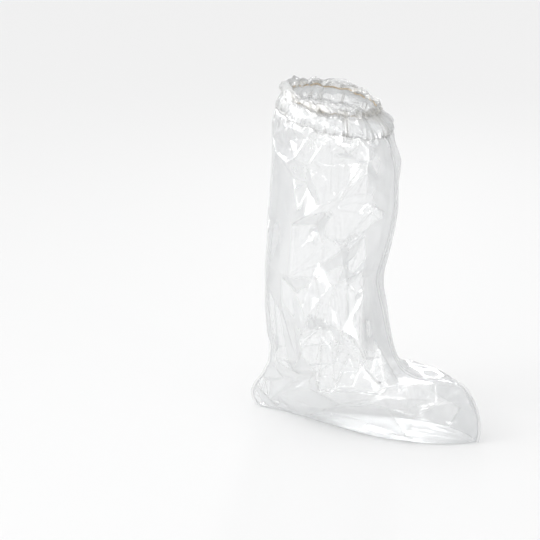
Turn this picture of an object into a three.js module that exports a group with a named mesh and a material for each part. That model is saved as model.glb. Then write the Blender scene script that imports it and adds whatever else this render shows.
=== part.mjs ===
// A disposable overboot of clear polyethylene film, in the shape it takes on a leg and foot.
// Two side panels are welded together down the front and the back, a folded sole joins them
// underneath, and an elastic in a folded hem gathers the top round the leg.
// Millimetres. X runs from heel to toe, Y to the left, Z up. Inside the boot group Z is 0 on the floor.
import * as THREE from "three";

// Driving dimensions
const FILM = 1; // wall thickness of every film solid
const GAP = 0.3; // clearance between neighbouring pieces
const SOLE_TOP = FILM + GAP; // height at which the side panels start
const WELD_HALF = FILM / 2; // half the thickness of the welded fin
const WELD_OUT = 4; // how far the fin stands out from the panels
const WELD_IN = 1; // how far it reaches in between them
const ELASTIC_RING = 61; // radius of the elastic's loop
const ELASTIC_THICK = 1.2; // radius of the elastic itself
const HEM_DEPTH = 24; // from the elastic down to the hem's lower edge
const HEM_THROAT = 3; // how far below the elastic the hem stays straight
const HEM_FLARE = 8.6; // how much wider the lower edge is than the elastic's loop, at the sides
const HEM_FLARE_FRONT = 7; // how much more at the front, and less at the back
const HEM_FLARE_LONG = 9.4; // how much more at both
const HEM_SLACK = 0.4; // between the elastic and the hem's walls
const HEM_PLEATS = 22; // gathers round the hem
const HEM_RUFFLE_OUT = 2.6; // how far a gather swells outwards
const HEM_RUFFLE_IN = 1.0; // and inwards
const HEM_TOP = 6; // height of the folded edge over the elastic
const HEM_TOP_BACK = 14; // extra height of the folded edge at the back
const HEM_TOP_WAVE = 1.5; // rise and fall of the folded edge
const PANEL_ROWS = 34; // steps from the sole to the hem
const PANEL_COLUMNS = 20; // steps from the back weld to the front weld
const PANEL_PLEATS = 10; // gathers on each panel under the hem
const PLEAT_RISE = 2.2; // height of those gathers at the hem
const PLEAT_REACH = 0.16; // share of the panel's height over which they fade
const CUFF_LEAN = 0.03; // slope of the cuff down to the right
const CUFF_BACK = 7; // how far behind the middle of the panels' top edge the elastic sits
const LEAN_START = 0.75; // level above which the panels lean with it

// Sections from the sole up to the hem. frontX and frontZ follow the front weld over the toe, the
// instep and the shin, backX and backZ follow the back weld, half is the half width between the two,
// skew moves the widest place towards the toe, and lens is 1 for pointed ends and 0.5 for round ones.
const SECTIONS = [
  { level: 0.0, frontX: 248, frontZ: 0, backX: -94, backZ: 0, half: 48, skew: 1.8, lens: 0.9 },
  { level: 0.05, frontX: 251, frontZ: 15, backX: -101, backZ: 6, half: 54, skew: 1.7, lens: 0.88 },
  { level: 0.1, frontX: 249, frontZ: 36, backX: -106, backZ: 18, half: 59, skew: 1.6, lens: 0.86 },
  { level: 0.15, frontX: 241, frontZ: 57, backX: -99, backZ: 34, half: 63, skew: 1.45, lens: 0.84 },
  { level: 0.2, frontX: 227, frontZ: 74, backX: -89, backZ: 47, half: 66, skew: 1.3, lens: 0.82 },
  { level: 0.25, frontX: 203, frontZ: 83, backX: -83, backZ: 58, half: 67, skew: 1.2, lens: 0.8 },
  { level: 0.3, frontX: 164, frontZ: 77, backX: -77, backZ: 71, half: 66, skew: 1.1, lens: 0.76 },
  { level: 0.35, frontX: 134, frontZ: 86, backX: -75, backZ: 91, half: 66, skew: 1, lens: 0.7 },
  { level: 0.4, frontX: 115, frontZ: 116, backX: -78, backZ: 118, half: 66, skew: 1, lens: 0.64 },
  { level: 0.46, frontX: 102, frontZ: 165, backX: -81, backZ: 163, half: 68, skew: 1, lens: 0.58 },
  { level: 0.52, frontX: 92, frontZ: 211, backX: -79, backZ: 205, half: 71, skew: 1, lens: 0.54 },
  { level: 0.58, frontX: 100, frontZ: 242, backX: -76, backZ: 246, half: 76, skew: 1, lens: 0.52 },
  { level: 0.66, frontX: 112, frontZ: 283, backX: -70, backZ: 290, half: 80, skew: 1, lens: 0.5 },
  { level: 0.74, frontX: 118, frontZ: 325, backX: -66, backZ: 336, half: 82, skew: 1, lens: 0.5 },
  { level: 0.82, frontX: 118, frontZ: 365, backX: -66, backZ: 380, half: 80, skew: 1, lens: 0.5 },
  { level: 0.9, frontX: 113, frontZ: 389, backX: -64, backZ: 408, half: 77, skew: 1, lens: 0.5 },
  { level: 0.96, frontX: 110, frontZ: 405, backX: -61, backZ: 433, half: 75, skew: 1, lens: 0.5 },
  { level: 1.0, frontX: 105, frontZ: 414, backX: -57, backZ: 450, half: 73, skew: 1, lens: 0.5 },
];

// Main folds of each panel. A fold is a ridge, or a dent where rise is negative, from one place to
// another. level runs from the sole to the hem and around from the back weld to the front weld.
const FOLDS = {
  right: [
    { level: 0.91, around: 0.18, toLevel: 0.9, toAround: 0.84, rise: -6, width: 24 },
    { level: 0.56, around: 0.2, toLevel: 0.64, toAround: 0.5, rise: 11, width: 28 },
    { level: 0.62, around: 0.46, toLevel: 0.84, toAround: 0.82, rise: 8, width: 30 },
    { level: 0.58, around: 0.46, toLevel: 0.36, toAround: 0.4, rise: 9, width: 26 },
    { level: 0.36, around: 0.4, toLevel: 0.14, toAround: 0.24, rise: 8, width: 26 },
    { level: 0.56, around: 0.8, toLevel: 0.36, toAround: 0.58, rise: 9, width: 32 },
    { level: 0.4, around: 0.5, toLevel: 0.1, toAround: 0.42, rise: 8, width: 26 },
    { level: 0.4, around: 0.74, toLevel: 0.05, toAround: 0.62, rise: 9, width: 28 },
    { level: 0.06, around: 0.7, toLevel: 0.22, toAround: 0.9, rise: -6, width: 28 },
  ],
  left: [
    { level: 0.92, around: 0.18, toLevel: 0.88, toAround: 0.78, rise: -6, width: 26 },
    { level: 0.86, around: 0.3, toLevel: 0.55, toAround: 0.66, rise: 9, width: 32 },
    { level: 0.64, around: 0.26, toLevel: 0.34, toAround: 0.34, rise: 8, width: 28 },
    { level: 0.52, around: 0.74, toLevel: 0.28, toAround: 0.5, rise: 9, width: 30 },
    { level: 0.36, around: 0.3, toLevel: 0.1, toAround: 0.2, rise: 8, width: 26 },
    { level: 0.34, around: 0.66, toLevel: 0.06, toAround: 0.6, rise: 9, width: 28 },
    { level: 0.08, around: 0.72, toLevel: 0.22, toAround: 0.9, rise: -6, width: 28 },
  ],
};

const FILM_LOOK = { color: 0xdfe6ea, roughness: 0.25, metalness: 0, transparent: true, opacity: 0.35 };
const WELD_LOOK = { color: 0xeef1f2, roughness: 0.35, metalness: 0, transparent: true, opacity: 0.6 };
const ELASTIC_LOOK = { color: 0xd9b98a, roughness: 0.7, metalness: 0 };

// The value of one column of the sections at a level, by a cubic that never overshoots its rows.
function sectionValue(column, level) {
  const slope = SECTIONS.slice(1).map((row, i) => {
    const before = SECTIONS[i];
    return (row[column] - before[column]) / (row.level - before.level);
  });
  const tangent = SECTIONS.map((row, i) => {
    const a = slope[Math.max(i - 1, 0)];
    const b = slope[Math.min(i, slope.length - 1)];
    return a * b > 0 ? (2 * a * b) / (a + b) : 0;
  });
  const last = SECTIONS.length - 2;
  const next = SECTIONS.findIndex((row) => row.level > level);
  const i = next < 0 ? last : Math.max(next - 1, 0);
  const low = SECTIONS[i];
  const high = SECTIONS[i + 1];
  const span = high.level - low.level;
  const t = (level - low.level) / span;
  const rise = tangent[i] * span * t * (1 - t) ** 2 + tangent[i + 1] * span * t * t * (t - 1);
  return (1 + 2 * t) * (1 - t) ** 2 * low[column] + t * t * (3 - 2 * t) * high[column] + rise;
}

const frontPoint = (level) => new THREE.Vector2(sectionValue("frontX", level), sectionValue("frontZ", level));
const backPoint = (level) => new THREE.Vector2(sectionValue("backX", level), sectionValue("backZ", level));

// The cuff stands square to the slanting top edge of the panels.
const topFront = frontPoint(1);
const topBack = backPoint(1);
const cuffSlope = (topBack.y - topFront.y) / (topFront.x - topBack.x);
const CUFF_AXIS = new THREE.Vector3(cuffSlope, -CUFF_LEAN, 1).normalize();

// A smooth step from 0 to 1 as x goes from low to high.
const ease = (x, low, high) => THREE.MathUtils.smoothstep(x, low, high);

// A panel without its folds: an arch from the back weld to the front weld. side is -1 on the right.
function plainPoint(side, level, around) {
  const front = frontPoint(level);
  const back = backPoint(level);
  const share = (1 - Math.cos(Math.PI * around)) / 2;
  const skewed = share ** sectionValue("skew", level);
  const arch = (4 * skewed * (1 - skewed)) ** sectionValue("lens", level);
  const place = back.lerp(front, share);
  const y = side * (WELD_HALF + GAP + sectionValue("half", level) * arch);
  const lean = CUFF_LEAN * y * ease(level, LEAN_START, 1);
  return new THREE.Vector3(place.x, y, place.y + SOLE_TOP + lean);
}

// The outward normal of that arch, from two short steps along it.
function plainNormal(side, level, around) {
  const step = 0.004;
  const at = (dl, da) => {
    const l = THREE.MathUtils.clamp(level + dl, 0, 1);
    const a = THREE.MathUtils.clamp(around + da, 0.01, 0.99);
    return plainPoint(side, l, a);
  };
  const up = at(step, 0).sub(at(-step, 0));
  const across = at(0, step).sub(at(0, -step));
  return across.cross(up).normalize().multiplyScalar(-side);
}

// How far the folds lift the film at a place, measured on the panel laid out flat.
function foldRise(folds, level, around) {
  const flatHeight = 500;
  const flatWidth = 300;
  const here = new THREE.Vector2(around * flatWidth, level * flatHeight);
  return folds.reduce((sum, fold) => {
    const start = new THREE.Vector2(fold.around * flatWidth, fold.level * flatHeight);
    const end = new THREE.Vector2(fold.toAround * flatWidth, fold.toLevel * flatHeight);
    const along = end.clone().sub(start);
    const t = THREE.MathUtils.clamp(here.clone().sub(start).dot(along) / along.lengthSq(), 0, 1);
    const away = here.distanceTo(start.addScaledVector(along, t)) / fold.width;
    return sum + fold.rise * Math.max(0, 1 - away) * (0.4 + 0.6 * Math.sin(Math.PI * t));
  }, 0);
}

// The gathers under the hem, which fade downwards.
function gatherRise(level, around) {
  const fade = ease(level, 1 - PLEAT_REACH, 1);
  return PLEAT_RISE * fade * Math.cos(2 * Math.PI * PANEL_PLEATS * around);
}

// A point on the outside of a panel, and the wall's thickness further in.
function panelPoints(name, level, around) {
  const side = name === "right" ? -1 : 1;
  const edge = ease(around, 0, 0.12) * ease(1 - around, 0, 0.12);
  const ends = ease(level, 0, 0.08) * ease(1 - level, 0, 0.03);
  const rise = edge * (ends * foldRise(FOLDS[name], level, around) + gatherRise(level, around));
  const normal = plainNormal(side, level, around);
  normal.addScaledVector(CUFF_AXIS, -ease(level, 0.94, 1) * normal.dot(CUFF_AXIS)).normalize();
  const outside = plainPoint(side, level, around).addScaledVector(normal, rise);
  const inside = outside.clone().addScaledVector(normal, -FILM);
  const clear = WELD_HALF + GAP;
  inside.z = Math.max(inside.z, SOLE_TOP);
  inside.y = side * Math.max(side * inside.y, clear);
  return [outside, inside];
}

// A closed geometry from loops of points. Each loop has the same count of points, in the same turn,
// and the first and last are capped, or joined to each other where the loft is a ring.
function loft(loops, ring = false) {
  const count = loops[0].length;
  const index = [];
  const steps = ring ? loops.length : loops.length - 1;
  for (let i = 0; i < steps; i++) {
    const next = (i + 1) % loops.length;
    for (let j = 0; j < count; j++) {
      const a = i * count + j;
      const b = i * count + ((j + 1) % count);
      const c = next * count + ((j + 1) % count);
      const d = next * count + j;
      index.push(a, b, c, a, c, d);
    }
  }
  if (!ring) {
    const top = (loops.length - 1) * count;
    for (let j = 0; j < count / 2 - 1; j++) {
      const back = count - 1 - j;
      index.push(j, back, back - 1, j, back - 1, j + 1);
      index.push(top + j, top + back - 1, top + back, top + j, top + j + 1, top + back - 1);
    }
  }
  const geometry = new THREE.BufferGeometry();
  geometry.setAttribute("position", new THREE.Float32BufferAttribute(loops.flat().flatMap((p) => p.toArray()), 3));
  geometry.setIndex(index);
  geometry.computeVertexNormals();
  return geometry;
}

// A list of the numbers from 0 to count, as shares.
const shares = (count) => Array.from({ length: count + 1 }, (_, i) => i / count);

function panelGeometry(name) {
  const loops = shares(PANEL_ROWS).map((level) => {
    const pairs = shares(PANEL_COLUMNS).map((around) => panelPoints(name, level, around));
    const loop = [...pairs.map(([outside]) => outside), ...pairs.map(([, inside]) => inside).reverse()];
    return name === "right" ? loop : loop.reverse();
  });
  return loft(loops);
}

// A welded fin in the middle plane, along the front or the back edge of the panels.
function weldGeometry(edgePoint, outward) {
  const loops = shares(PANEL_ROWS).map((level) => {
    const step = 0.01;
    const here = edgePoint(level);
    const above = edgePoint(Math.min(level + step, 1));
    const below = edgePoint(Math.max(level - step, 0));
    const along = above.sub(below).normalize();
    const out = new THREE.Vector2(along.y, -along.x).multiplyScalar(outward);
    if (level === 0) out.set(outward, 0);
    if (level === 1) out.set(1, -cuffSlope).normalize().multiplyScalar(outward);
    const corner = (reach, half) => {
      const p = here.clone().addScaledVector(out, reach);
      return new THREE.Vector3(p.x, half, p.y + SOLE_TOP + (level === 1 ? CUFF_LEAN * half : 0));
    };
    const loop = [
      corner(WELD_OUT, WELD_HALF),
      corner(-WELD_IN, WELD_HALF),
      corner(-WELD_IN, -WELD_HALF),
      corner(WELD_OUT, -WELD_HALF),
    ];
    return outward > 0 ? loop : loop.reverse();
  });
  return loft(loops);
}

// The sole: the outline of both panels' lower edges, flat on the floor.
function soleGeometry() {
  const edge = (side) => shares(PANEL_ROWS).map((around) => plainPoint(side, 0, around));
  const outline = [...edge(-1), ...edge(1).reverse()].map((p) => new THREE.Vector2(p.x, p.y));
  return new THREE.ExtrudeGeometry(new THREE.Shape(outline), { depth: FILM, bevelEnabled: false });
}

// The hem: film folded down over the elastic and gathered by it, open underneath.
function hemGeometry() {
  const steps = HEM_PLEATS * 4;
  const loops = Array.from({ length: steps }, (_, i) => {
    const turn = (2 * Math.PI * i) / steps;
    const swell = (1 + Math.cos(HEM_PLEATS * turn)) / 2;
    const outer = ELASTIC_THICK + HEM_SLACK + HEM_RUFFLE_OUT * swell;
    const inner = -ELASTIC_THICK - HEM_SLACK - HEM_RUFFLE_IN * (1 - swell);
    const toBack = ((1 - Math.cos(turn)) / 2) ** 4;
    const top = HEM_TOP + HEM_TOP_BACK * toBack + HEM_TOP_WAVE * Math.cos(HEM_PLEATS * turn);
    const shoulder = top - 2 * FILM;
    const forward = Math.cos(turn);
    const flare = HEM_FLARE + HEM_FLARE_FRONT * forward + HEM_FLARE_LONG * forward * forward;
    const profile = [
      [outer + FILM + flare, -HEM_DEPTH],
      [outer + FILM, -HEM_THROAT],
      [outer + FILM, shoulder],
      [0, top],
      [inner - FILM, shoulder],
      [inner - FILM, -HEM_THROAT],
      [inner - FILM + flare, -HEM_DEPTH],
      [inner + flare, -HEM_DEPTH],
      [inner, -HEM_THROAT],
      [inner, shoulder - FILM],
      [0, top - FILM * 1.5],
      [outer, shoulder - FILM],
      [outer, -HEM_THROAT],
      [outer + flare, -HEM_DEPTH],
    ];
    return profile.map(([out, up]) => {
      const radius = ELASTIC_RING + out;
      return new THREE.Vector3(radius * Math.cos(turn), radius * Math.sin(turn), up);
    });
  });
  return loft(loops.map((loop) => loop.reverse()), true);
}

function part(name, geometry, look) {
  const mesh = new THREE.Mesh(geometry, new THREE.MeshStandardMaterial(look));
  mesh.name = name;
  return mesh;
}

const cuff = new THREE.Group();
cuff.position.set((topFront.x + topBack.x) / 2, 0, (topFront.y + topBack.y) / 2 + SOLE_TOP);
cuff.position.addScaledVector(CUFF_AXIS, HEM_DEPTH + GAP);
cuff.position.addScaledVector(new THREE.Vector3(1, 0, 0).projectOnPlane(CUFF_AXIS).normalize(), -CUFF_BACK);
cuff.quaternion.setFromUnitVectors(new THREE.Vector3(0, 0, 1), CUFF_AXIS);
cuff.add(
  part("hem_casing", hemGeometry(), FILM_LOOK),
  part("elastic", new THREE.TorusGeometry(ELASTIC_RING, ELASTIC_THICK, 7, 48), ELASTIC_LOOK),
);

const boot = new THREE.Group();
boot.add(
  part("right_panel", panelGeometry("right"), FILM_LOOK),
  part("left_panel", panelGeometry("left"), FILM_LOOK),
  part("sole", soleGeometry(), FILM_LOOK),
  part("front_weld", weldGeometry(frontPoint, 1), WELD_LOOK),
  part("back_weld", weldGeometry(backPoint, -1), WELD_LOOK),
  cuff,
);
// The origin is the middle of the elastic's loop, where a leg holds the overboot up.
boot.position.copy(cuff.position).negate();

const overboot = new THREE.Group();
overboot.add(boot);

export default overboot;
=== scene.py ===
"""A disposable overboot of clear polyethylene film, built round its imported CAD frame.

Two side panels hang in slack facets and folds between their welded edges, a folded sole joins
them underneath, and an elastic gathers a double hem round the leg. Each piece is a surface over
two parameters, worked out in the boot's own millimetres: X from heel to toe, Y to the left and Z
up from the floor. place() turns those into the frame's metres. On a panel, level runs from 0 at
the sole to 1 at the hem, and around from 0 at the back edge to 1 at the front edge.
"""

import math

import bpy
import numpy as np
from mathutils import Matrix, Vector
from mathutils.geometry import delaunay_2d_cdt


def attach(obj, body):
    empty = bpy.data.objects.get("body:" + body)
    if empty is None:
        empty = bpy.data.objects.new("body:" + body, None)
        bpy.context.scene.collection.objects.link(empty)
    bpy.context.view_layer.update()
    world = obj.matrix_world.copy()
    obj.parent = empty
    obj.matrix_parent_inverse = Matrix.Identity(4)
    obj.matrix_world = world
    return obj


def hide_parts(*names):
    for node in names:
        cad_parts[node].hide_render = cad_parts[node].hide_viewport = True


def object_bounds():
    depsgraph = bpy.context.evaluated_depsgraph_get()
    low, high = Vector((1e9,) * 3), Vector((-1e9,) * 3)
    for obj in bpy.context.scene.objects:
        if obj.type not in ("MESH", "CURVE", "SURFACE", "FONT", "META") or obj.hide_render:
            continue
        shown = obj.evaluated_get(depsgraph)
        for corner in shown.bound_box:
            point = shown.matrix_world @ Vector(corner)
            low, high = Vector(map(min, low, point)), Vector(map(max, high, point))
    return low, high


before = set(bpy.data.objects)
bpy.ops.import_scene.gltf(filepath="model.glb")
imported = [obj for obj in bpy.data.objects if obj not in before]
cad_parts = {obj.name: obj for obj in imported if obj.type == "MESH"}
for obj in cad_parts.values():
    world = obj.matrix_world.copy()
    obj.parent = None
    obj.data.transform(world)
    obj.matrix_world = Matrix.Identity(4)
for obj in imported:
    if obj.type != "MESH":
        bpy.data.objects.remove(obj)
cad_low, cad_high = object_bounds()

bl_info = {
    "name": "Disposable Overboot",
    "version": (1, 0, 0),
    "blender": (4, 5, 0),
    "location": "3D View > Sidebar > Overboot",
    "description": "Builds a clear film overboot with a gathered hem, round its CAD frame",
    "category": "Object",
}

# The boot's sections from the sole up to the hem: level, x and z of the front edge, x and z of
# the back edge, half width, how far the widest place sits towards the toe, and 1 for pointed ends
# or 0.5 for round ones.
SECTIONS = np.array([
    (0.00, 248, 0, -94, 0, 48, 1.8, 0.90),
    (0.05, 251, 15, -101, 6, 54, 1.7, 0.88),
    (0.10, 249, 36, -106, 18, 59, 1.6, 0.86),
    (0.15, 241, 57, -99, 34, 63, 1.45, 0.84),
    (0.20, 227, 74, -89, 47, 66, 1.3, 0.82),
    (0.25, 203, 83, -83, 58, 67, 1.2, 0.80),
    (0.30, 164, 77, -77, 71, 66, 1.1, 0.76),
    (0.35, 134, 86, -75, 91, 66, 1.0, 0.70),
    (0.40, 115, 116, -78, 118, 66, 1.0, 0.64),
    (0.46, 102, 165, -81, 163, 68, 1.0, 0.58),
    (0.52, 92, 211, -79, 205, 71, 1.0, 0.54),
    (0.58, 100, 242, -76, 246, 76, 1.0, 0.52),
    (0.66, 112, 283, -70, 290, 80, 1.0, 0.50),
    (0.74, 118, 325, -66, 336, 82, 1.0, 0.50),
    (0.82, 118, 365, -66, 380, 80, 1.0, 0.50),
    (0.90, 113, 389, -64, 408, 77, 1.0, 0.50),
    (0.96, 110, 405, -61, 433, 75, 1.0, 0.50),
    (1.00, 105, 414, -57, 450, 73, 1.0, 0.50),
])
SIDES = (-1, 1)  # the right panel and the left one
SOLE_TOP = 1.3  # how high the panels' lower edges stand over the floor
FOOT_LEVEL = 0.24  # up to which a panel covers the foot
EDGE_CLEAR = 0.3  # from the middle plane to a panel's welded edge
CUFF_LEAN, LEAN_START = 0.03, 0.75  # how much the top rises to the left, and from which level on
HEM_DEPTH, HEM_GAP = 24.0, 0.3  # from the elastic down to the hem's weld, and on to the panels
HEM_ROUND = 740.0  # the hem's length before gathering
GATHER_RISE = 1.6  # how far the gathers along the hem's weld stand in and out
ELASTIC_RING, ELASTIC_ROUND = 61.0, 420.0  # the elastic's half width, and its length laid out
RING_CLEAR = 1.2  # from the elastic's ring to the film gathered round it
CUFF_BACK = 7.0  # how far behind the middle of the top edge the elastic sits
FLAT_WIDTH, FLAT_HEIGHT = 300.0, 500.0  # a panel laid out flat
ROWS, COLUMNS = 241, 161  # points along and across a panel
SOLE_ROWS, SOLE_COLUMNS = 97, 241  # points across and along the sole
WELD_ROWS = 721  # points along a weld
HEM_ROWS, HALF_ROUND = 67, 360  # points across the folded hem, and along each side of it
HEM_NET, HEM_STRIP = 481, slice(300, 358)  # rows of the hem's facet nets, and those it uses
RING_OVERLAP = 6  # points that a ring is carried on past its ends while it is sharpened
ELASTIC_SIDES = 12  # points round the elastic thread
SWELL_WIDTH = 18  # points over which a swelling of a panel counts as broad
LINE_WIDTH = 1.7  # of the whitened line along a crease
SEEDS = {-1: 5, 1: 6}  # of each side's creases and facets
SOLE_SEED, HEM_SEED, FRONT_SEED, BACK_SEED = 31, 41, 7, 8  # of the other pieces' random draws
SEAL_START, SEAL_RISE = 0.988, 0.008  # the level where a panel's sealed top begins, and its rise

# Where each piece starts on the flat film that the patterns follow.
LAID_OUT = {
    "right_panel": 0,
    "left_panel": 400,
    "sole": 900,
    "front_weld": 1300,
    "back_weld": 1340,
    "hem_casing": 1500,
    "elastic": 0,
}

# The rounds of relaxing the film, each on a finer grid: points along and across, steps, the bend
# at which it folds sharply, the most that it has to spare across and under the hem, the height of
# its first unevenness, how far it is blown out every five steps, and the random seed.
ROUNDS = (
    (61, 41, 500, 3.0, 0.16, 0.06, 2.5, 0.02, 3),
    (121, 81, 400, 1.0, 0.20, 0.16, 0.5, 0.01, 13),
    (ROWS, COLUMNS, 300, 0.25, 0.30, 0.32, 0.1, 0.0, 23),
)
RIDGE_SEEDS, RIDGES = (101, 202), 40  # of each panel's broad folds, and how many it has

# Creases that the folded film keeps: places as (level, around), then how far each stands out,
# as one rise for the whole crease or as one for each place.
CREASES = [
    ([(0.72, 0.61), (0.76, 0.67), (0.89, 0.81)], 5),
    ([(0.67, 0.43), (0.70, 0.50), (0.72, 0.61)], 4),
    ([(0.77, 0.74), (0.84, 0.79), (0.87, 0.81)], 4),
    ([(0.77, 0.73), (0.77, 0.78)], 3),
    ([(0.92, 0.38), (0.86, 0.44), (0.83, 0.38)], 3),
    ([(0.87, 0.53), (0.94, 0.58)], 3.5),
    ([(0.92, 0.63), (0.95, 0.66)], 3),
    ([(0.84, 0.50), (0.91, 0.55)], -3),
    ([(0.85, 0.60), (0.89, 0.68)], -2.5),
    ([(0.84, 0.71), (0.88, 0.78)], -2.5),
    ([(0.73, 0.57), (0.76, 0.65)], 3),
    ([(0.54, 0.47), (0.63, 0.61), (0.59, 0.63), (0.54, 0.47)], (6, -2, 3, 6)),
    ([(0.59, 0.64), (0.63, 0.70), (0.67, 0.75)], 6),
    ([(0.58, 0.73), (0.62, 0.74), (0.67, 0.80)], 5),
    ([(0.59, 0.63), (0.54, 0.63), (0.49, 0.61), (0.43, 0.55), (0.40, 0.50), (0.35, 0.43), (0.31, 0.40)], 8),
    ([(0.46, 0.63), (0.43, 0.62), (0.21, 0.44)], 7),
    ([(0.55, 0.86), (0.50, 0.85), (0.44, 0.70), (0.41, 0.64)], 8),
    ([(0.46, 0.80), (0.42, 0.76), (0.35, 0.76), (0.20, 0.64)], 8),
    ([(0.41, 0.88), (0.22, 0.65)], 3.5),
    ([(0.42, 0.66), (0.4, 0.71), (0.3, 0.56)], -4),
    ([(0.31, 0.40), (0.36, 0.53)], 4),
    ([(0.21, 0.45), (0.16, 0.50), (0.18, 0.58)], 5),
    ([(0.25, 0.35), (0.13, 0.25)], 4),
    ([(0.03, 0.33), (0.12, 0.44), (0.13, 0.5)], 5),
    ([(0.38, 0.75), (0.21, 0.64), (0.15, 0.64), (0.04, 0.67)], 5),
    ([(0.15, 0.64), (0.12, 0.71), (0.04, 0.67)], 4),
    ([(0.25, 0.74), (0.18, 0.71), (0.14, 0.69)], 3),
    ([(0.12, 0.72), (0.15, 0.78), (0.2, 0.97)], 3),
    ([(0.21, 0.02), (0.08, 0.19)], 3),
    ([(0.14, 0.04), (0.03, 0.22)], 3),
]


# Curves and noise

def ease(x, low, high):
    """A smooth step from 0 at low to 1 at high."""
    t = np.clip((x - low) / (high - low), 0, 1)
    return t * t * (3 - 2 * t)


def hill(x, foot, top, edge, end):
    """A smooth step up from foot to top, and one down from edge to end."""
    return ease(x, foot, top) * (1 - ease(x, edge, end))


def free(share, start, end):
    """1 on a run from 0 to 1, and down to 0 over so much of its start and its end."""
    return ease(share, 0, start) * ease(1 - share, 0, end)


def bell(x, width):
    """A bell curve: 1 at 0, and about a third of that a width away from it."""
    return np.exp(-((x / width) ** 2))


def dot(a, b):
    """The dot products of two arrays of vectors."""
    return np.einsum("...i,...i", a, b)


def unit(vectors, least=1e-9):
    """Vectors made one long. least keeps those of no length from failing."""
    return vectors / (np.linalg.norm(vectors, axis=-1, keepdims=True) + least)


def smooth_noise(rng, rows, columns, high, wide):
    """Random values on a coarse net of high by wide cells, carried to the grid by cubic
    B-splines and scaled to a spread of about 1."""
    net = rng.normal(size=(high + 3, wide + 3))

    def weights(count, cells):
        q = np.linspace(0, cells, count)
        i = np.minimum(q.astype(int), cells - 1)
        f = q - i
        w = [(1 - f) ** 3, 3 * f**3 - 6 * f**2 + 4, -3 * f**3 + 3 * f**2 + 3 * f + 1, f**3]
        full = np.zeros((count, cells + 3))
        np.put_along_axis(full, i[:, None] + np.arange(4), np.stack(w, -1) / 6, 1)
        return full

    return weights(rows, high) @ net @ weights(columns, wide).T / 0.45


def finer(a, count, axis):
    """An array on a grid of more points, by straight lines between the old ones."""
    q = np.linspace(0, a.shape[axis] - 1, count)
    i = np.minimum(q.astype(int), a.shape[axis] - 2)
    shape = [1] * a.ndim
    shape[axis] = count
    f = (q - i).astype(a.dtype).reshape(shape)
    return np.take(a, i, axis) * (1 - f) + np.take(a, i + 1, axis) * f


def blur_matrix(count, width):
    """The matrix that averages a line of points by a bell curve so many points wide."""
    step = np.arange(count)
    share = np.exp(-0.5 * ((step[:, None] - step[None]) / width) ** 2)
    return share / share.sum(1, keepdims=True)


# The form

def section(column, level):
    """A column of the sections at a level, by the cubic through its rows whose slope at each
    row is the harmonic mean of the slopes on both sides, so that it never overshoots."""
    rows, values = SECTIONS[:, 0], SECTIONS[:, column]
    step = np.diff(rows)
    slope = np.diff(values) / step
    a, b = slope[:-1], slope[1:]
    mean = np.where(a * b > 0, 2 * a * b / np.where(a + b == 0, 1, a + b), 0)
    tangent = np.concatenate([slope[:1], mean, slope[-1:]])
    i = np.clip(np.searchsorted(rows, level, side="right") - 1, 0, len(rows) - 2)
    t = (level - rows[i]) / step[i]
    curve = tangent[i] * t * (1 - t) ** 2 + tangent[i + 1] * t * t * (t - 1)
    return (1 + 2 * t) * (1 - t) ** 2 * values[i] + t * t * (3 - 2 * t) * values[i + 1] + step[i] * curve


def plain_side(side, level, around):
    """A panel without folds. A place goes from the back edge to the front edge by half a cosine,
    and the film stands off the middle plane by the half width times an arch, which is four times
    a share times the rest of it, raised to the section's power."""
    front_x, front_z, back_x, back_z, half, skew, lens = (section(k, level) for k in range(1, 8))
    share = (1 - np.cos(np.pi * around)) / 2
    skewed = share**skew
    arch = np.clip(4 * skewed * (1 - skewed), 0, 1) ** lens
    y = side * (EDGE_CLEAR + half * arch)
    z = back_z + (front_z - back_z) * share + SOLE_TOP + CUFF_LEAN * y * ease(level, LEAN_START, 1)
    return np.stack([back_x + (front_x - back_x) * share, y, z], -1)


TOP_FRONT, TOP_BACK = SECTIONS[-1, 1:3], SECTIONS[-1, 3:5]
TOP_SLOPE = (TOP_BACK[1] - TOP_FRONT[1]) / (TOP_FRONT[0] - TOP_BACK[0])
CUFF_AXIS = np.array([TOP_SLOPE, -CUFF_LEAN, 1.0])
CUFF_AXIS /= np.linalg.norm(CUFF_AXIS)
CUFF_FOOT = np.array([(TOP_FRONT[0] + TOP_BACK[0]) / 2, 0, (TOP_FRONT[1] + TOP_BACK[1]) / 2 + SOLE_TOP])
CUFF_FORWARD = np.array([1.0, 0, 0]) - CUFF_AXIS[0] * CUFF_AXIS
CUFF_FORWARD /= np.linalg.norm(CUFF_FORWARD)
ORIGIN = CUFF_FOOT + CUFF_AXIS * (HEM_DEPTH + HEM_GAP) - CUFF_FORWARD * CUFF_BACK  # the elastic's middle


def place(points):
    """The boot's own millimetres as metres in the frame, whose origin is the elastic's middle."""
    return (np.asarray(points, float) - ORIGIN) / 1000


def laid_out(node, u, v):
    """A piece's places on the flat film, from millimetres to metres."""
    return np.stack(np.broadcast_arrays(u + LAID_OUT[node], v), -1) / 1000


def panel_grid(rows, columns):
    """The level and the place around of each point of a panel."""
    return np.meshgrid(np.linspace(0, 1, rows), np.linspace(0, 1, columns), indexing="ij")


def flat_grid():
    """Each point's place on the flat panel, across and along."""
    return np.meshgrid(np.linspace(0, FLAT_WIDTH, COLUMNS), np.linspace(0, FLAT_HEIGHT, ROWS))


def outward(x):
    """Unit normals of both panels, from the cross product of the steps across and along."""
    n = np.cross(np.gradient(x, axis=2), np.gradient(x, axis=1))
    n[1] *= -1
    return unit(n)


def bend(x):
    """How far each point is off the middle of its four neighbours, times four."""
    b = np.zeros_like(x)
    b[:, :, 1:-1] += x[:, :, 2:] + x[:, :, :-2] - 2 * x[:, :, 1:-1]
    b[:, 1:-1] += x[:, 2:] + x[:, :-2] - 2 * x[:, 1:-1]
    return b


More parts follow.
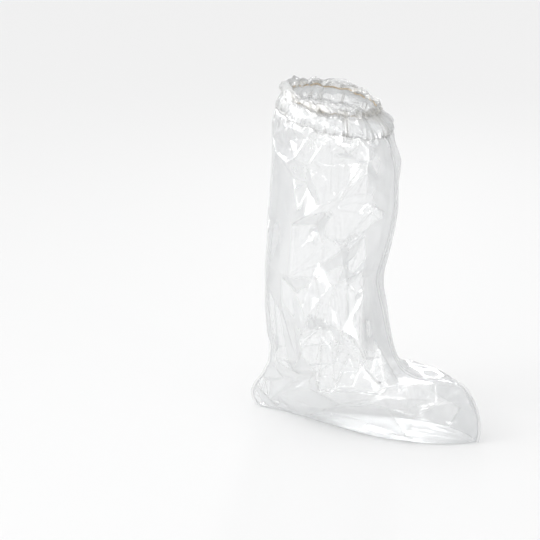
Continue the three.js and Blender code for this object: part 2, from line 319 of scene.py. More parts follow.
def crease_mask(x):
    """How sharply the film is bent at each point: the length of bend() over the cell's size,
    from 0 where it is flat to 1 at a hard crease, for both panels."""
    sharp = np.linalg.norm(bend(x), axis=-1)
    cell = sum(np.linalg.norm(np.gradient(x, axis=axis), axis=-1) for axis in (2, 1))
    return np.clip((sharp / (cell + 1e-6) - 0.10) / 0.45, 0, 1)


# Creases and facets

def crease_lines(side, rng):
    """The creases as points on the flat panel in millimetres. The left panel has the same ones,
    moved about at random."""
    lines = []
    for points, rise in CREASES:
        p = np.array(points)
        if side > 0:
            p = p + rng.normal(0, 0.03, p.shape) + rng.normal(0, 0.05, (1, 2))
            p = p.clip(0.03, 0.96)
        lines.append((p[:, ::-1] * (FLAT_WIDTH, FLAT_HEIGHT), rise))
    return lines


def nearest(points, lines):
    """Each point's distance to the nearest of some lines, as a straight line's two ends each."""
    near = np.full(points.shape[:-1], 1e9)
    for a, b in lines:
        t = np.clip((points - a) @ (b - a) / ((b - a) @ (b - a)), 0, 1)
        near = np.minimum(near, np.linalg.norm(points - a - t[..., None] * (b - a), axis=-1))
    return near


def fold_lines(side):
    """How near each point of a panel is to a listed crease, as a bell curve of the distance on
    the flat film."""
    lines = crease_lines(side, np.random.default_rng(SEEDS[side]))
    ends = [pair for line, _rise in lines for pair in zip(line[:-1], line[1:])]
    return bell(nearest(np.stack(flat_grid(), -1), ends), LINE_WIDTH)


def sample(a, corner):
    """A grid's values at places on the flat panel, by straight lines between its points."""
    v = np.clip(corner[:, 1] / FLAT_HEIGHT, 0, 1) * (a.shape[0] - 1)
    u = np.clip(corner[:, 0] / FLAT_WIDTH, 0, 1) * (a.shape[1] - 1)
    i, j = np.minimum(v.astype(int), a.shape[0] - 2), np.minimum(u.astype(int), a.shape[1] - 2)
    p, q = (v - i)[:, None], (u - j)[:, None]
    low = a[i, j] * (1 - q) + a[i, j + 1] * q
    high = a[i + 1, j] * (1 - q) + a[i + 1, j + 1] * q
    return low * (1 - p) + high * p


def net_corners(side, rng, spacing, depth, crease, foot_lift, even):
    """The corners of a panel's facets: their places on the flat film, their heights, and the
    pairs that a crease joins. Besides the creases' own points they are scattered at random, in
    cells that are wide over the foot and tall over the leg, and kept off the creases. Their
    heights are random, smaller towards the edges unless even, and nothing on the rim."""
    places, heights, edges, ends = [], [], [], []
    for line, rise in crease_lines(side, rng):
        if not crease:
            continue
        count = len(line)
        share = np.full(count, 0.8)
        if np.isscalar(rise):
            share[[0, -1]] = 0.35
        share *= 1 - 0.8 * ease(np.abs(line[:, 0] / FLAT_WIDTH - 0.5), 0.3, 0.44)
        edges += [(len(places) + k - 1, len(places) + k) for k in range(1, count)]
        ends += zip(line[:-1], line[1:])
        places += list(line)
        heights += list(np.asarray(rise) * crease * share * (1.6 if count == 2 else 1))
    spots = []
    for low, high, wide, tall in ((0, FOOT_LEVEL, 1.25, 0.9), (FOOT_LEVEL, 1, 0.8, 1.5)):
        nu = int(FLAT_WIDTH / (spacing * wide))
        nv = int(FLAT_HEIGHT * (high - low) / (spacing * tall))
        u, v = np.meshgrid((np.arange(nu) + 0.5) / nu, (np.arange(nv) + 0.5) / nv, indexing="ij")
        u = u + (np.arange(nv) % 2 - 0.5) * 0.5 / nu
        spot = np.stack([u * FLAT_WIDTH, (low + (high - low) * v) * FLAT_HEIGHT], -1).reshape(-1, 2)
        spots.append(spot + rng.uniform(-0.42, 0.42, spot.shape) * spacing * (wide, tall))
    spots = np.concatenate(spots).clip(8, (FLAT_WIDTH - 8, FLAT_HEIGHT - 8))
    near = nearest(spots, ends)
    spots, near = spots[near > 9], near[near > 9]
    around, level = spots[:, 0] / FLAT_WIDTH, spots[:, 1] / FLAT_HEIGHT
    middle = hill(around, 0.08, 0.32, 0.70, 0.90)
    size = 2 * depth * (0.15 + 0.85 * np.maximum(middle, 0.8 * (1 - ease(level, 0.2, 0.3))))
    if even:
        size = np.full(len(spots), 2 * depth)
    heights += list(rng.normal(0, 1, len(spots)).clip(-1.8, 1.8) * size - 0.6 * size * (near < 25))
    places += list(spots)
    heights = np.array(heights) + foot_lift * (1 - ease(np.array(places)[:, 1] / FLAT_HEIGHT, 0.3, 0.4))
    steps = np.linspace(0, 1, 34)
    rim = [(t, end) for t in steps for end in (0, 1)] + [(end, t) for t in steps[1:-1] for end in (0, 1)]
    places += list(np.array(rim) * (FLAT_WIDTH, FLAT_HEIGHT))
    return places, np.concatenate([heights, np.zeros(len(rim))]), edges


def facet_net(
    side, rng, spacing, depth, crease=0.0, rows=ROWS, columns=COLUMNS, even=False, base=None, normal=None
):
    """Flat facets with sharp ridges between them. Corners on the flat panel are joined into
    triangles that keep each crease as an edge, and where creases cross, the new corner's height
    is the others' mean, weighed by the fourth power of nearness. The height of a place is the
    plane through its triangle's three corners. With a base and its normals, the corners stand
    off that surface by their heights, and what comes back is the places on the flat triangles
    between them."""
    foot_lift = 0.0 if base is None else 1.5
    places, heights, edges = net_corners(side, rng, spacing, depth, crease, foot_lift, even)
    found = delaunay_2d_cdt([Vector(p) for p in places], edges, [], 0, 1e-3)
    corner = np.array([tuple(v) for v in found[0]])
    height = np.array([heights[o[0]] if o else np.nan for o in found[3]])
    known = ~np.isnan(height)
    for k in np.flatnonzero(~known):
        weight = 1 / (np.linalg.norm(corner[known] - corner[k], axis=1) + 1) ** 4
        height[k] = (height[known] * weight).sum() / weight.sum()
    value = height[:, None]
    if base is not None:
        value = sample(base, corner) + sample(normal, corner) * value
    cell = np.array([FLAT_WIDTH / (columns - 1), FLAT_HEIGHT / (rows - 1)])
    grid_u, grid_v = np.meshgrid(np.arange(columns) * cell[0], np.arange(rows) * cell[1])
    lift = np.zeros((rows, columns, value.shape[1]))
    for face in found[2]:
        a, b, c = (corner[i] for i in face)
        turn = (b[1] - c[1]) * (a[0] - c[0]) + (c[0] - b[0]) * (a[1] - c[1])
        if abs(turn) < 1e-6:
            continue
        j0, i0 = np.maximum(np.floor(np.min([a, b, c], 0) / cell).astype(int), 0)
        j1, i1 = np.ceil(np.max([a, b, c], 0) / cell).astype(int) + 1
        u, v = grid_u[i0:i1, j0:j1] - c[0], grid_v[i0:i1, j0:j1] - c[1]
        p = ((b[1] - c[1]) * u + (c[0] - b[0]) * v) / turn
        q = ((c[1] - a[1]) * u + (a[0] - c[0]) * v) / turn
        inside = (p > -1e-6) & (q > -1e-6) & (p + q < 1 + 1e-6)
        p, q = p[inside, None], q[inside, None]
        lift[i0:i1, j0:j1][inside] = p * value[face[0]] + q * value[face[1]] + (1 - p - q) * value[face[2]]
    return lift if base is not None else lift[..., 0]


def soft_ridges(level, around, rng):
    """Broad folds: each is a straight ridge on the flat panel, as high as a tent, whose height
    falls off with the distance from the ridge over its width."""
    s, t = rng.uniform(0.02, 0.99, RIDGES), rng.uniform(0.03, 0.97, RIDGES)
    length, turn = rng.uniform(30, 110, RIDGES), np.radians(rng.normal(90, 35, RIDGES))
    turn = np.where(s < FOOT_LEVEL, rng.uniform(0, np.pi, RIDGES), turn)
    middle = np.where(s < FOOT_LEVEL, 0.8, hill(t, 0.12, 0.34, 0.68, 0.86))
    rise = rng.uniform(0.5, 1, RIDGES) * rng.choice([-1, 1], RIDGES) * np.minimum(3.2, length * 0.035)
    rise, width = rise * (0.3 + 0.7 * middle), rng.uniform(19, 42, RIDGES)
    step_u, step_v = length * np.cos(turn), length * np.sin(turn)
    lift = np.zeros(level.shape)
    for k in range(RIDGES):
        u = around * FLAT_WIDTH - t[k] * FLAT_WIDTH + step_u[k] / 2
        v = level * FLAT_HEIGHT - s[k] * FLAT_HEIGHT + step_v[k] / 2
        q = np.clip((u * step_u[k] + v * step_v[k]) / length[k] ** 2, 0, 1)
        away = np.hypot(u - q * step_u[k], v - q * step_v[k]) / width[k]
        lift += rise[k] * np.clip(1 - away, 0, 1)
    return lift


# The hanging film

def film_excess(level, around, cap, top):
    """How much longer the film is than the form under it, across and along, as shares. The
    loose bag has most to spare round the ankle and under the hem."""
    across = np.interp(
        level,
        [0, 0.1, 0.15, 0.2, 0.25, 0.3, 0.35, 0.4, 0.5, 0.55, 0.6, 0.7, 0.8, 0.9, 1],
        [0.01, 0.015, 0.02, 0.03, 0.05, 0.07, 0.09, 0.11, 0.15, 0.13, 0.1, 0.065, 0.07, 0.13, 0.3],
    )
    under_hem = ease(level, 0.9, 1)
    middle = hill(around, 0.02, 0.3, 0.7, 0.98)
    across = across * np.where(level < FOOT_LEVEL, 1, 0.45 + 0.55 * middle)
    across = np.minimum(across, cap) * (1 - under_hem) + np.minimum(across, top) * under_hem
    instep = 0.03 * bell(level - 0.34, 0.1) * ease(around, 0.3, 0.9)
    return across, 0.018 + instep + 0.02 * bell(level - 0.55, 0.1)


def gather_wave(side, around, pleats):
    """The gathers along the hem: a sine of so many turns, whose phase and height wander."""
    i = 0 if side < 0 else 1
    turn = np.pi * around
    wander = 2.6 * np.sin(6 * turn + i) + 1.6 * np.sin(14 * turn + 2 * i) + 0.9 * np.sin(31 * turn + 5 * i)
    height = 0.25 + 0.75 * np.sin(8.3 * turn + 2 * i + 1.5 * np.sin(19 * turn)) ** 2
    return np.sin(2 * turn * pleats + wander) * height * free(around, 0.03, 0.03)


def weld_wave(side, around):
    """How far the hem's weld line wanders up and down, in millimetres, as a sum of sines."""
    i = 0 if side < 0 else 2
    turn = np.pi * around
    wave = np.sin(9 * turn + i + 1.2 * np.sin(4 * turn)) + 0.7 * np.sin(21 * turn + 3 * i)
    return 1.1 * (wave + 0.45 * np.sin(47 * turn + i)) * free(around, 0.05, 0.05)


def gathered_top(form, normal, around, pleats):
    """Both panels' top edges with the hem's gathers, level and outwards, and with the wander of
    its weld, along the leg."""
    top = form[:, -1].copy()
    for i, side in enumerate(SIDES if pleats else ()):
        level_out = unit(normal[i, -1] - (normal[i, -1] @ CUFF_AXIS)[:, None] * CUFF_AXIS, 0)
        top[i] += level_out * (GATHER_RISE * gather_wave(side, around, pleats))[:, None]
        top[i] += CUFF_AXIS * weld_wave(side, around)[:, None]
    return top


def thread_lengths(form, wide, tall):
    """The lengths at rest of the film's threads across, along and both ways aslant. The first
    two are the form's lengths and the share to spare, and the slanting ones follow from them by
    the law of cosines."""
    du, dv = np.diff(form, axis=2), np.diff(form, axis=1)
    a = np.linalg.norm(du, axis=-1) * (1 + (wide[:, 1:] + wide[:, :-1]) / 2)
    b = np.linalg.norm(dv, axis=-1) * (1 + (tall[1:] + tall[:-1]) / 2)
    side_a, side_b = (a[:, 1:] + a[:, :-1]) / 2, (b[:, :, 1:] + b[:, :, :-1]) / 2
    du, dv = (du[:, 1:] + du[:, :-1]) / 2, (dv[:, :, 1:] + dv[:, :, :-1]) / 2
    slant = dot(du, dv)
    slant /= np.linalg.norm(du, axis=-1) * np.linalg.norm(dv, axis=-1) + 1e-6
    square, across = side_a**2 + side_b**2, 2 * side_a * side_b * slant
    return [rest.astype(np.float32) for rest in (a, b, np.sqrt(square + across), np.sqrt(square - across))]


def pull_pairs(a, b, rest, share):
    """Moves two arrays of points towards or away from each other by a share of how far their
    distance is from its length at rest."""
    gap = b - a
    gap *= (share * 0.5 * (1 - rest / np.sqrt(dot(gap, gap))))[..., None]
    a += gap
    b -= gap


def pull_film(x, rest):
    """One pass over the film's threads across, along and both ways aslant, odd ones first."""
    for o in (0, 1):
        pull_pairs(x[:, :, o:-1:2], x[:, :, o + 1 :: 2], rest[0][:, :, o::2], 1.0)
        pull_pairs(x[:, o:-1:2], x[:, o + 1 :: 2], rest[1][:, o::2], 1.0)
        pull_pairs(x[:, o:-1:2, :-1], x[:, o + 1 :: 2, 1:], rest[2][:, o::2], 0.7)
        pull_pairs(x[:, o:-1:2, 1:], x[:, o + 1 :: 2, :-1], rest[3][:, o::2], 0.7)


def hang_film(before, pleats, rows, columns, steps, sharp, cap, top, noise, push, seed):
    """One round of relaxing the slack film on a grid, from the round before. Each thread is
    pulled to its own length, which is the form's plus what the film has to spare, and the film
    resists bending by a force that gives way at sharp folds. The edges stay where the welds, the
    sole and the hem hold them, and the film is drawn back where it strays from the form, over
    9 mm in the middle of a side and 2.5 mm near its edges."""
    level, around = panel_grid(rows, columns)
    plain = np.stack([plain_side(side, level, around) for side in SIDES])
    normal = outward(plain)
    loose = free(level, 0.04, 0.03) * ease(around, 0, 0.05) * ease(1 - around, 0, 0.05)
    lift = np.stack([soft_ridges(level, around, np.random.default_rng(r)) for r in RIDGE_SEEDS])
    form = (plain + normal * (lift * loose)[..., None]).astype(np.float32)
    rest = thread_lengths(form, *film_excess(level, around, cap, top))
    x = form.copy()
    if before is not None:
        x += finer(finer(before[1] - before[0], rows, 1), columns, 2)
    for i in (0, 1):
        rng = np.random.default_rng(seed + i)
        bumps = smooth_noise(rng, rows, columns, max(8, rows // 7), max(6, columns // 7))
        x[i] += (normal[i] * (noise * bumps * loose)[..., None]).astype(np.float32)
    hem = gathered_top(form, normal, around[0], pleats)
    kept_bend = bend(form)
    middle = hill(around, 0.15, 0.4, 0.6, 0.85)
    reach = (2.5 + 6.5 * np.maximum(middle, 1 - ease(level, 0.15, 0.3))).astype(np.float32)
    for step in range(steps):
        pull_film(x, rest)
        for _ in range(2):
            more = bend(x) - kept_bend
            more *= (0.02 / (1 + dot(more, more) / sharp**2))[..., None]
            x[:, 2:-2, 2:-2] -= bend(more)[:, 2:-2, 2:-2]
        if step % 5 == 0:
            if push:
                x += (outward(x) * push).astype(np.float32)
            away = x - form
            far = np.sqrt(dot(away, away))
            x -= away * (0.3 * np.maximum(far - reach, 0) / np.maximum(far, 1e-6))[..., None]
            x[0, :, :, 1] = np.minimum(x[0, :, :, 1], -EDGE_CLEAR)
            x[1, :, :, 1] = np.maximum(x[1, :, :, 1], EDGE_CLEAR)
            x[..., 2] = np.maximum(x[..., 2], SOLE_TOP)
        x[:, 0], x[:, -1] = form[:, 0], hem
        x[:, :, 0], x[:, :, -1] = form[:, :, 0], form[:, :, -1]
    return form, x


def facet_normals(x):
    """Unit normals and middles of a grid's four-cornered cells."""
    a, b, c, d = x[:, :-1, :-1], x[:, :-1, 1:], x[:, 1:, 1:], x[:, 1:, :-1]
    return unit(np.cross(c - a, d - b)), (a + b + c + d) / 4


def crispen(x, rounds, passes, alike):
    """Flattens the facets and sharpens the creases between them. Each cell's normal is averaged
    with those of its neighbours that face almost the same way, weighed by a bell curve of how
    much they differ, and then each point moves onto the planes that the new normals ask for."""
    x = x.copy()
    for _ in range(rounds):
        n = facet_normals(x)[0]
        for _ in range(passes):
            total = n.copy()
            for i, j in ((1, 0), (0, 1), (1, 1), (1, -1)):
                one = np.s_[:, i:, max(j, 0) : n.shape[2] + min(j, 0)]
                two = np.s_[:, : n.shape[1] - i, max(-j, 0) : n.shape[2] - max(j, 0)]
                apart = n[one] - n[two]
                weight = np.exp(-dot(apart, apart) / (2 * alike**2))[..., None]
                total[two] += n[one] * weight
                total[one] += n[two] * weight
            n = unit(total)
        for _ in range(5):
            middle = facet_normals(x)[1]
            move, count = np.zeros_like(x), np.zeros(x.shape[:-1] + (1,), x.dtype)
            for i in (0, 1):
                for j in (0, 1):
                    here = np.s_[:, i : x.shape[1] - 1 + i, j : x.shape[2] - 1 + j]
                    move[here] += n * dot(n, middle - x[here])[..., None]
                    count[here] += 1
            x[:, 2:-2, 2:-2] += (move / count)[:, 2:-2, 2:-2]
    return x


def calmed(form, x, loose, level, around):
    """The relaxed film with most of its broad swellings taken back, and lying closer to the form
    along the welds."""
    normal = outward(form)
    off = blur_matrix(ROWS, SWELL_WIDTH) @ dot(x - form, normal) @ blur_matrix(COLUMNS, SWELL_WIDTH).T
    x = x - (normal * (0.85 * off * loose)[..., None]).astype(x.dtype)
    calm = hill(around, 0.02, 0.3, 0.7, 0.98)
    calm = np.maximum(calm, np.maximum(1 - ease(level, 0.2, 0.32), ease(level, 0.86, 0.95)))
    return form + (x - form) * (0.35 + 0.65 * calm).astype(x.dtype)[..., None]


def film_panels(sizes):
    """Both panels as they hang: relaxed on three ever finer grids, then given the facets and
    creases of film that was packed folded, which stand out along the normals. By the front weld
    the left panel is held within 2.3 mm of the form, by a hyperbolic tangent, so that its
    outline stays even."""
    hung = None
    for rows, columns, steps, *slack in ROUNDS:
        steps = int(steps * (1))
        hung = hang_film(hung, sizes.pleats if rows == ROWS else 0, rows, columns, steps, *slack)
    form, x = hung
    level, around = panel_grid(ROWS, COLUMNS)
    loose = free(level, 0.04, 0.05) * ease(around, 0, 0.06) * ease(1 - around, 0, 0.06)
    x = calmed(form, x, loose, level, around)
    outer, normal = outward(form), outward(x)
    crumpled = 0.25 + 0.9 * ease(level, 0.84, 0.95) + 0.3 * hill(level, 0.28, 0.34, 0.38, 0.5)
    taut = ease(around, 0.6, 0.72) * ease(level, 0.10, 0.14) * (1 - 0.3 * ease(level, 0.38, 0.46))
    size, depth = sizes.facet_size * 1000, sizes.facet_depth * 1000
    for i, side in enumerate(SIDES):
        rng = np.random.default_rng(SEEDS[side])
        lines = normal[i] * loose[..., None]
        flat = facet_net(side, rng, size, depth, sizes.crease_share, base=x[i], normal=lines)
        x[i] += ((flat - x[i]) * loose[..., None]).astype(x.dtype)
        if side > 0:
            off = dot(x[i] - form[i], outer[i])
            held = 0.5 + 1.8 * np.tanh((off - 0.5) / 1.8)
            x[i] += (outer[i] * (taut * (held - off))[..., None]).astype(x.dtype)
        lift = facet_net(side, rng, size * 0.45, depth * 0.28)
        x[i] += (normal[i] * (lift * loose * crumpled)[..., None]).astype(x.dtype)
    return crispen(x, rounds=2, passes=6, alike=0.10)


# Meshes

def grid_faces(rows, columns, around=False, along=False, flip=False):
    """Four corners of each cell of a grid. around joins the last column to the first, and along
    the last row to the first."""
    i = np.arange(rows if along else rows - 1)[:, None]
    j = np.arange(columns if around else columns - 1)[None, :]
    i2, j2 = (i + 1) % rows, (j + 1) % columns
    corners = i * columns + j, i * columns + j2, i2 * columns + j2, i2 * columns + j
    quads = np.stack(np.broadcast_arrays(*corners), -1).reshape(-1, 4)
    return quads[:, ::-1] if flip else quads


def grid_mesh(name, points, faces, flat, masks=None):
    """A mesh object from a grid of points in the frame's metres, its faces, a place on the flat
    film for each point, in metres, and named values for each point."""
    mesh = bpy.data.meshes.new(name)
    points, flat = points.reshape(-1, 3), flat.reshape(-1, 2)
    mesh.vertices.add(len(points))
    mesh.vertices.foreach_set("co", points.astype(np.float32).ravel())
    mesh.loops.add(faces.size)
    mesh.loops.foreach_set("vertex_index", faces.astype(np.int32).ravel())
    mesh.polygons.add(len(faces))
    mesh.polygons.foreach_set("loop_start", np.arange(0, faces.size, 4, dtype=np.int32))
    mesh.update(calc_edges=True)
    mesh.polygons.foreach_set("use_smooth", np.ones(len(faces), bool))
    layer = mesh.uv_layers.new(name="flat")
    layer.data.foreach_set("uv", flat[faces.ravel()].astype(np.float32).ravel())
    for key, value in (masks or {}).items():
        attribute = mesh.attributes.new(key, "FLOAT", "POINT")
        attribute.data.foreach_set("value", np.asarray(value, np.float32).ravel())
    mesh.validate()
    piece = bpy.data.objects.new(name, mesh)
    bpy.context.scene.collection.objects.link(piece)
    return piece


def give_wall(piece, thickness):
    """Gives a sheet its wall, on the inner side of its faces."""
    wall = piece.modifiers.new("wall", "SOLIDIFY")
    wall.thickness = thickness
    wall.offset = -1
    wall.use_even_offset = False


def stand_for(piece, node, material):
    """Puts a finished piece in a CAD node's place, on the one body of the frame."""
    piece.data.materials.append(material)
    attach(piece, "root")
    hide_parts(node)


# Materials

def make_group(name, inputs, outputs):
    """A new node group, its tree, and the nodes that hold its inputs and outputs."""
    tree = bpy.data.node_groups.new(name, "ShaderNodeTree")
    for key, kind, value in inputs:
        socket = tree.interface.new_socket(name=key, in_out="INPUT", socket_type=kind)
        if value is not None:
            socket.default_value = value
    for key in outputs:
        tree.interface.new_socket(name=key, in_out="OUTPUT", socket_type="NodeSocketFloat")
    return tree, tree.nodes.new("NodeGroupInput"), tree.nodes.new("NodeGroupOutput")


def make_material(name):
    """A new material, the short ways to its nodes, and its Principled shader."""
    material = bpy.data.materials.new(name)
    material.use_nodes = True
    return material, Nodes(material.node_tree), material.node_tree.nodes["Principled BSDF"]


class Nodes:
    """Short ways to add and join the nodes of one tree."""

    def __init__(self, tree):
        self.tree = tree

    def join(self, value, socket):
        """Links an output to a socket, or sets the socket to a plain value."""
        if hasattr(value, "is_output"):
            self.tree.links.new(value, socket)
        else:
            socket.default_value = value

    def add(self, kind, inputs=(), **settings):
        node = self.tree.nodes.new(kind)
        for key, value in settings.items():
            setattr(node, key, value)
        for key, value in dict(inputs).items():
            self.join(value, node.inputs[key])
        return node

    def math(self, operation, a, b=0.5, clamp=False):
        inputs = {0: a, 1: b}
        return self.add("ShaderNodeMath", inputs, operation=operation, use_clamp=clamp).outputs[0]

    def plus(self, a, b, clamp=False):
        return self.math("ADD", a, b, clamp)

    def times(self, a, b):
        return self.math("MULTIPLY", a, b)

    def ramp(self, value, low, high, to_low=0.0, to_high=1.0):
        """A value carried from one range to another and kept inside it."""
        inputs = {"Value": value, "From Min": low, "From Max": high, "To Min": to_low, "To Max": to_high}
        return self.add("ShaderNodeMapRange", inputs).outputs[0]

    def stretch(self, vector, scale):
        return self.add("ShaderNodeMapping", {"Vector": vector, "Scale": scale}).outputs[0]

    def noise(self, vector, scale, detail=2.0, roughness=0.5, distortion=0.0):
        inputs = {"Vector": vector, "Scale": scale, "Detail": detail}
        inputs.update({"Roughness": roughness, "Distortion": distortion})
        return self.add("ShaderNodeTexNoise", inputs).outputs[0]

    def mix(self, factor, a, b):
        return self.add("ShaderNodeMix", {0: factor, 6: a, 7: b}, data_type="RGBA").outputs[2]

    def relief(self, skin, height, strength, distance):
        """Gives a shader its relief from a height."""
        inputs = {"Strength": strength, "Distance": distance, "Height": height}
        self.join(self.add("ShaderNodeBump", inputs).outputs[0], skin.inputs["Normal"])


def crinkle_group():
    """Fine crinkles of thin film: ridges where a stretched noise passes its middle, small facets
    of a cell pattern, and faint lengthwise lines from the blowing of the film. Puts out a height
    from 0 to 1 and a mask of the crinkled places."""
    name = "Film crinkles"
    if name in bpy.data.node_groups:
        return bpy.data.node_groups[name]
    inputs = [
        ("Vector", "NodeSocketVector", None),
        ("Crinkle Size", "NodeSocketFloat", 60.0),
        ("Patchiness", "NodeSocketFloat", 9.0),
    ]
    tree, given, made = make_group(name, inputs, ["Height", "Mask"])
    n = Nodes(tree)
    vector, size, patch = given.outputs[:3]
    patches = n.ramp(n.noise(vector, patch, 3.0, 0.6), 0.46, 0.68)
    long_way = n.stretch(vector, (1.0, 0.35, 1.0))
    wave = n.noise(long_way, size, 3.0, 0.55, 0.6)
    off_middle = n.math("ABSOLUTE", n.math("SUBTRACT", wave, 0.5))
    ridge = n.math("SUBTRACT", 1.0, n.times(off_middle, 5.0), clamp=True)
    cells = n.add("ShaderNodeTexVoronoi", {"Vector": long_way, "Scale": n.times(size, 1.7)}, feature="F1")
    facet = n.times(cells.outputs["Distance"], 0.5)
    crinkle = n.times(n.plus(ridge, facet), n.plus(n.times(patches, 0.85), 0.15))
    lines = n.noise(n.stretch(vector, (1.0, 0.02, 1.0)), 260.0, 1.0, 0.5)
    n.join(n.plus(n.times(crinkle, 0.8), n.times(lines, 0.12)), made.inputs["Height"])
    n.join(n.times(ridge, patches), made.inputs["Mask"])
    return tree


def haze_group():
    """Milky places in the film. Puts out two masks from 0 to 1: soft clouds with the broken
    whitening along creases, and faint lengthwise streaks."""
    name = "Film haze"
    if name in bpy.data.node_groups:
        return bpy.data.node_groups[name]
    inputs = [
        ("Vector", "NodeSocketVector", None),
        ("Crease", "NodeSocketFloat", 0.0),
        ("Cloud Size", "NodeSocketFloat", 14.0),
    ]
    tree, given, made = make_group(name, inputs, ["Haze", "Streak"])
    n = Nodes(tree)
    vector, crease, size = given.outputs[:3]
    clouds = n.ramp(n.noise(vector, size, 4.0, 0.6, 0.4), 0.42, 0.75)
    streaks = n.ramp(n.noise(n.stretch(vector, (1.0, 0.08, 1.0)), 90.0, 3.0, 0.6), 0.5, 0.78)
    broken = n.ramp(n.noise(vector, 160.0, 2.0), 0.35, 0.6, 0.45, 1.0)
    haze = n.plus(n.times(clouds, 0.15), n.times(n.times(crease, broken), 0.9), clamp=True)
    n.join(haze, made.inputs["Haze"])
    n.join(streaks, made.inputs["Streak"])
    return tree


# Each kind of film: its name, the skin's share where it faces the eye and at a slant, crinkles to
# the metre, their relief, the whiteness of a weld, and the roughness.
FINISHES = {
    "panel": ("clear film", 0.04, 0.62, 60.0, 0.22, 0.35, 0.06),
    "sole": ("sole film", 0.05, 0.30, 60.0, 0.22, 0.35, 0.16),
    "hem": ("gathered film", 0.06, 0.70, 130.0, 0.55, 0.80, 0.15),
    "weld": ("welded film", 0.14, 0.70, 140.0, 0.35, 0.50, 0.20),
}
THROUGH = (0.992, 0.994, 0.995, 1)  # what light keeps on its way through one face of the film
BACK_SHARE = 0.75  # of a back face's skin, beside a front face's


def film_material(kind):
    """One kind of clear film, made once: part of the light goes straight through, and the rest
    meets a glossy, slightly milky skin. The skin's share is least where the film faces the eye,
    more at a slant, along creases, on streaks and on welds, and less on the back faces."""
    name, body, edge, crinkle_size, bump, weld, roughness = FINISHES[kind]
    if name in bpy.data.materials:
        return bpy.data.materials[name]
    colours = bpy.context.scene.overboot_colours
    milk = colours.gathered if kind == "hem" else colours.milk
    material, n, skin = make_material(name)
    flat = n.add("ShaderNodeUVMap", uv_map="flat").outputs[0]
    crease = n.add("ShaderNodeAttribute", attribute_name="crease").outputs["Fac"]
    sealed = n.add("ShaderNodeAttribute", attribute_name="weld").outputs["Fac"]
    haze = n.add("ShaderNodeGroup", {"Vector": flat, "Crease": crease}, node_tree=haze_group())
    crinkles = {"Vector": flat, "Crinkle Size": crinkle_size}
    crinkle = n.add("ShaderNodeGroup", crinkles, node_tree=crinkle_group())
    cloudy, streaked, crinkled = haze.outputs["Haze"], haze.outputs["Streak"], crinkle.outputs["Mask"]
    white = n.plus(cloudy, n.times(sealed, weld), clamp=True)
    n.join(n.mix(white, (*colours.film, 1), (*milk, 1)), skin.inputs["Base Color"])
    rough = n.plus(n.times(white, 0.34), n.times(crinkled, 0.05))
    n.join(n.plus(rough, roughness), skin.inputs["Roughness"])
    skin.inputs["IOR"].default_value = 2.2
    skin.inputs["Specular IOR Level"].default_value = 0.9
    n.relief(skin, crinkle.outputs["Height"], bump, 0.002)
    slant = n.add("ShaderNodeLayerWeight", {"Blend": 0.35}).outputs["Fresnel"]
    share = n.ramp(slant, 0.0, 1.0, body, edge)
    for mask, weight in ((cloudy, 0.30), (streaked, 0.07), (crinkled, 0.04)):
        share = n.plus(share, n.times(mask, weight))
    share = n.plus(share, n.times(sealed, weld), clamp=True)
    behind = n.add("ShaderNodeNewGeometry").outputs["Backfacing"]
    share = n.times(share, n.ramp(behind, 0.0, 1.0, 1.0, BACK_SHARE))
    through = n.add("ShaderNodeBsdfTransparent", {"Color": THROUGH}).outputs[0]
    both = n.add("ShaderNodeMixShader", {0: share, 1: through, 2: skin.outputs[0]})
    n.join(both.outputs[0], material.node_tree.nodes["Material Output"].inputs["Surface"])
    return material


def elastic_material(colours):
    """Covered elastic thread: fine strands that wind round it, with painted shade in the grooves
    between them, and a dull rubbery shine."""
    material, n, skin = make_material("elastic thread")
    flat = n.add("ShaderNodeUVMap", uv_map="flat").outputs[0]
    winding = {"Vector": n.stretch(flat, (1.0, 1.6, 1.0)), "Scale": 260.0, "Distortion": 1.2, "Detail": 2.0}
    bands = {"wave_type": "BANDS", "bands_direction": "DIAGONAL"}
    strands = n.add("ShaderNodeTexWave", winding, **bands).outputs["Fac"]
    worn = n.noise(flat, 420.0, 3.0)
    light = (*colours.elastic, 1)
    # The colour between the strands is darker: painted shade in the grooves of the relief.
    groove_shade = (*(0.55 * c for c in colours.elastic), 1)
    pale = (*(min(1, 0.5 + 0.55 * c) for c in colours.elastic), 1)
    colour = n.mix(n.ramp(worn, 0.5, 0.75), n.mix(strands, groove_shade, light), pale)
    n.join(colour, skin.inputs["Base Color"])
    n.join(n.ramp(worn, 0.3, 0.7, 0.45, 0.7), skin.inputs["Roughness"])
    n.relief(skin, strands, 0.6, 0.0004)
    return material


def floor_material(colours):
    """Pale matt floor paper with a barely visible grain."""
    material, n, skin = make_material("floor paper")
    grain = n.noise(n.add("ShaderNodeTexCoord").outputs["Object"], 180.0, 3.0)
    dull = (*(0.985 * c for c in colours.floor), 1)
    n.join(n.mix(grain, dull, (*colours.floor, 1)), skin.inputs["Base Color"])
    n.join(n.ramp(grain, 0.3, 0.7, 0.75, 0.9), skin.inputs["Roughness"])
    return material


# What a user may change

LENGTH = {"unit": "LENGTH", "precision": 4}
COLOUR = {"size": 3, "min": 0, "max": 1, "subtype": "COLOR"}


